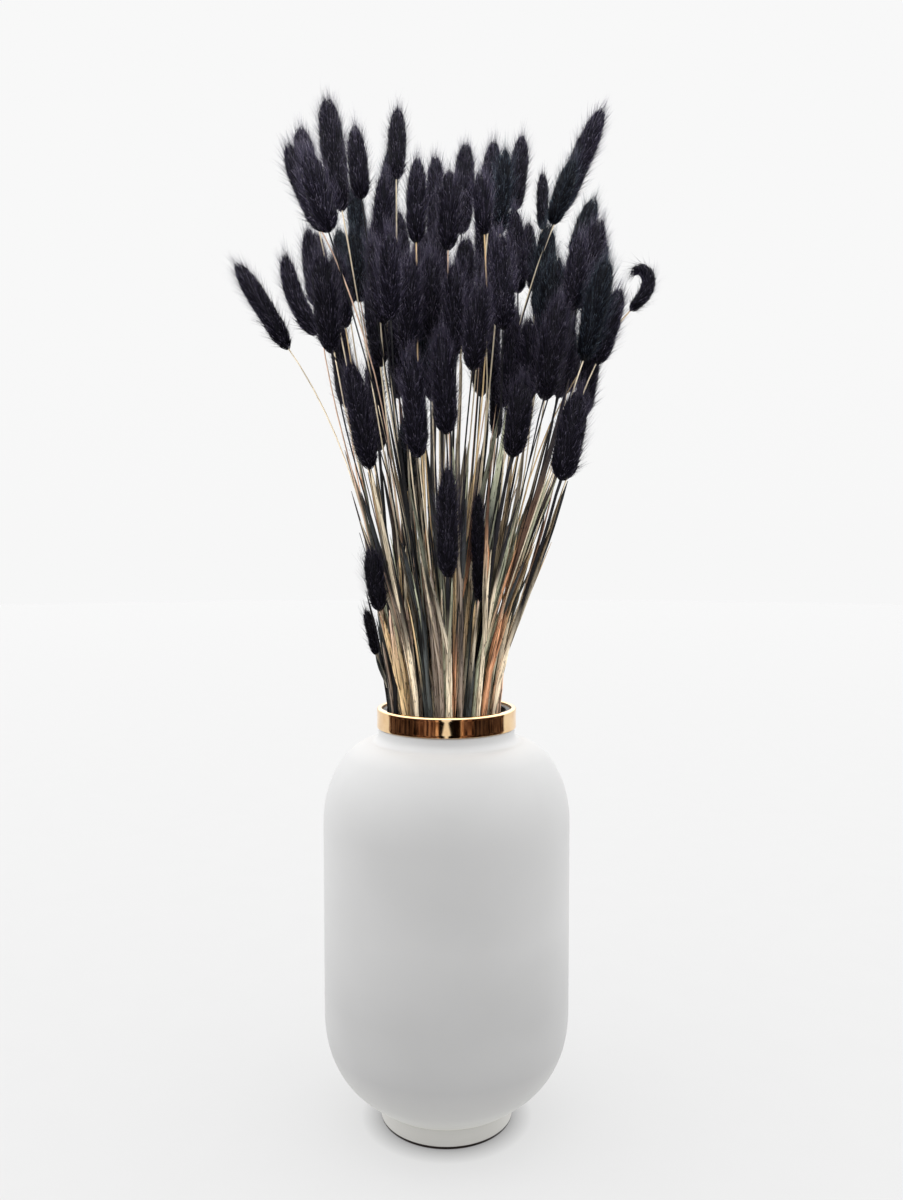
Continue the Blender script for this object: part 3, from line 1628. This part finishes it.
@dataclass
class Bunch:
    """All the grasses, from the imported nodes."""

    seed: int = 11
    prefix: str = "grass_sprig_"

    def read(self, nodes: dict[str, bpy.types.Object]) -> dict[str, list[Grass]]:
        """Reads the grasses of every node, and gives the curled head its hook.

        Args:
            nodes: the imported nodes' objects by name.

        Returns:
            The grasses of each node.
        """
        sprigs = sorted(node for node in nodes if node.startswith(self.prefix))
        found = {node: GrassReader(nodes[node]).read() for node in sprigs}
        everyone = [grass for grasses in found.values() for grass in grasses]
        curled = max(everyone, key=lambda grass: grass.culm[-1, 0])
        min(everyone, key=lambda grass: grass.mouth[0]).at_edge = True
        hook = CurledHead()
        curled.head = hook.axis(curled.culm[-1])
        curled.head_reach = hook.reach
        log.info("grasses read: %d in %d nodes", len(everyone), len(found))
        return found

    def build(self, nodes: dict[str, bpy.types.Object]) -> None:
        """Grows every node's heads and culms.

        Args:
            nodes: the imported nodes' objects by name.
        """
        heads, culms = SeedHeads(), Culms()
        for index, (node, grasses) in enumerate(self.read(nodes).items()):
            rng = np.random.default_rng([self.seed, index])
            for piece in (culms.build(node, grasses, rng), heads.build(node, grasses, rng)):
                log.info("%s: %d faces", piece.name, len(piece.data.polygons))


# The studio


@dataclass
class Studio:
    """The pale floor, the soft light and the camera.

    The room is white, with even light from above and from both sides. What the metal mirrors
    from the camera's side is dark: panels of brown and skin-like tones between pale slits, with
    folds in them. Ranges of the room are in heights and distances on a sphere of radius 1.
    """

    floor_radius: float = 6.0
    eye: tuple[float, float, float] = (0.003, -0.606, 0.3527)
    downward: float = 3.1
    lens: float = 30.0
    sensor: float = 36.0
    even_light: float = 0.6
    side_light: float = 1.2
    top_light: float = 1.5
    left_light: float = 0.12
    lip_light: float = 1.8
    lip_heights: Pair = (0.05, 0.5)
    dark_ahead: Pair = (0.33, 0.27)
    dark_heights: Pair = (0.2, 0.08)
    slit_heights: Pair = (-0.24, -0.1)
    slit_widths: Pair = (0.035, 0.085)
    slit_blur: float = 0.03
    background: tuple[str, str] = ("#F7F7F7", "#F8F8F8")
    horizon: Pair = (0.0, 0.2)
    panel_reach: float = 1.92
    panels: Stops = (
        (0.0, "#8A766C"), (0.12, "#6A5850"), (0.2, "#54453F"), (0.27, "#5C4A42"), (0.3, "#94776A"),
        (0.4, "#A48678"), (0.417, "#5A3F30"), (0.425, "#FFDCC0"), (0.437, "#FFDCC0"), (0.447, "#15100D"),
        (0.6, "#1C1410"), (0.612, "#FFDCC0"), (0.622, "#F0C8A8"), (0.632, "#A48678"), (0.68, "#8A6C5E"),
        (0.71, "#4A3B35"), (0.86, "#5E4E47"), (1.0, "#8A766C"),
    )
    folds: Stops = ((0.38, "#3E332F"), (0.5, "#A8978F"), (0.6, "#FFF4EC"))
    fold_scale: float = 16.0
    fold_stretch: float = 0.3
    top: TableTop = field(default_factory=TableTop)

    def floor(self) -> None:
        """Lays the pale floor."""
        begin()
        bpy.ops.mesh.primitive_circle_add(vertices=96, radius=self.floor_radius, fill_type="NGON")
        made = finished("studio_floor")
        made.data.materials.append(self.top.material())
        made.visible_glossy = False

    def light(self) -> None:
        """Lights the white room: soft light from above and from both sides, a dark camera side."""
        world = bpy.data.worlds.new("white_room")
        bpy.context.scene.world = world
        world.use_nodes = True
        node = partial(add_node, world.node_tree)
        split = node("SeparateXYZ", {0: node("TexCoord", out="Generated")}).node.outputs
        across, ahead, up = (split[name] for name in "XYZ")
        front = node("MapRange", {0: ahead, 1: self.dark_ahead[0], 2: self.dark_ahead[1]})
        low = node("MapRange", {0: up, 1: self.dark_heights[0], 2: self.dark_heights[1]})
        dark = node("Math", {0: front, 1: low}, operation="MULTIPLY")
        behind = node("Math", {0: ahead, 1: -1.0}, operation="MULTIPLY")
        azimuth = node("Math", {0: across, 1: behind}, operation="ARCTAN2")
        narrow, wider = self.slit_widths
        ends = {1: self.slit_heights[0], 2: self.slit_heights[1], 3: narrow, 4: narrow + wider}
        half = node("MapRange", {0: up, **ends})
        turned = node("Math", {0: azimuth}, operation="ABSOLUTE")
        past = node("Math", {0: turned, 1: half}, operation="SUBTRACT")
        shut = node("MapRange", {0: past, 1: 0.0, 2: self.slit_blur})
        dark = node("Math", {0: dark, 1: shut}, operation="MULTIPLY")
        round_the_room = node("MapRange", {0: azimuth, 1: -self.panel_reach, 2: self.panel_reach})
        panels = node("ValToRGB", {0: round_the_room}, stops=self.panels)
        stretched = node("Math", {0: up, 1: self.fold_stretch}, operation="MULTIPLY")
        run = node("CombineXYZ", {0: azimuth, 2: stretched})
        noise = node("TexNoise", {"Vector": run, "Scale": self.fold_scale, "Detail": 5.0})
        streaks = node("ValToRGB", {0: noise}, stops=self.folds)
        things = node("Mix", {0: 1.0, 6: panels, 7: streaks}, out=2, **MULTIPLIED)
        ends = {1: self.lip_heights[0], 2: self.lip_heights[1], 3: 1.0, 4: 1.0 + self.lip_light}
        white = node("MapRange", {0: up, **ends})
        room = node("Mix", {0: dark, 6: white, 7: things}, out=2, **MIXED)
        sides = node("Math", {0: across, 1: across}, operation="MULTIPLY")
        high = node("Math", {0: up, 1: 0.0}, operation="MAXIMUM")
        soft = self.even_light
        lamps = ((sides, self.side_light), (high, self.top_light), (across, -self.left_light))
        for lamp, amount in lamps:
            soft = node("Math", {0: lamp, 1: amount, 2: soft}, operation="MULTIPLY_ADD")
        shades = [linear(code) for code in self.background]
        rise = node("MapRange", {0: up, 1: self.horizon[0], 2: self.horizon[1]})
        wall = node("Mix", {0: rise, 6: shades[0], 7: shades[1]}, out=2, **MIXED)
        glossy = node("LightPath", out="Is Glossy Ray")
        lit = node("Mix", {0: glossy, 6: soft, 7: room}, out=2, **MIXED)
        direct = glossy.node.outputs["Is Camera Ray"]
        seen = node("Mix", {0: direct, 6: lit, 7: wall}, out=2, **MIXED)
        connect(world.node_tree.nodes["Background"], {"Color": seen})

    def camera(self) -> None:
        """Sets up the camera at the photograph's place and angle."""
        data = bpy.data.cameras.new("camera")
        data.lens = self.lens
        data.sensor_width = self.sensor
        data.clip_start = 0.01
        made = bpy.data.objects.new("camera", data)
        made.location = self.eye
        made.rotation_euler = (math.radians(90.0 - self.downward), 0.0, 0.0)
        bpy.context.scene.collection.objects.link(made)
        bpy.context.scene.camera = made

    def build(self) -> None:
        """Builds the floor, the lights and the camera."""
        self.floor()
        self.light()
        self.camera()
        bpy.context.scene.view_settings.view_transform = "Standard"


def main() -> None:
    """Builds the vase, its collar, the grasses and the studio, in order."""
    logging.basicConfig(level=logging.INFO, format="%(message)s")
    for maker in (VaseBody(), Collar()):
        piece = maker.build()
        log.info("%s: %d faces", piece.name, len(piece.data.polygons))
    Bunch().build(frame["nodes"])
    Studio().build()


if __name__ == "__main__":
    main()
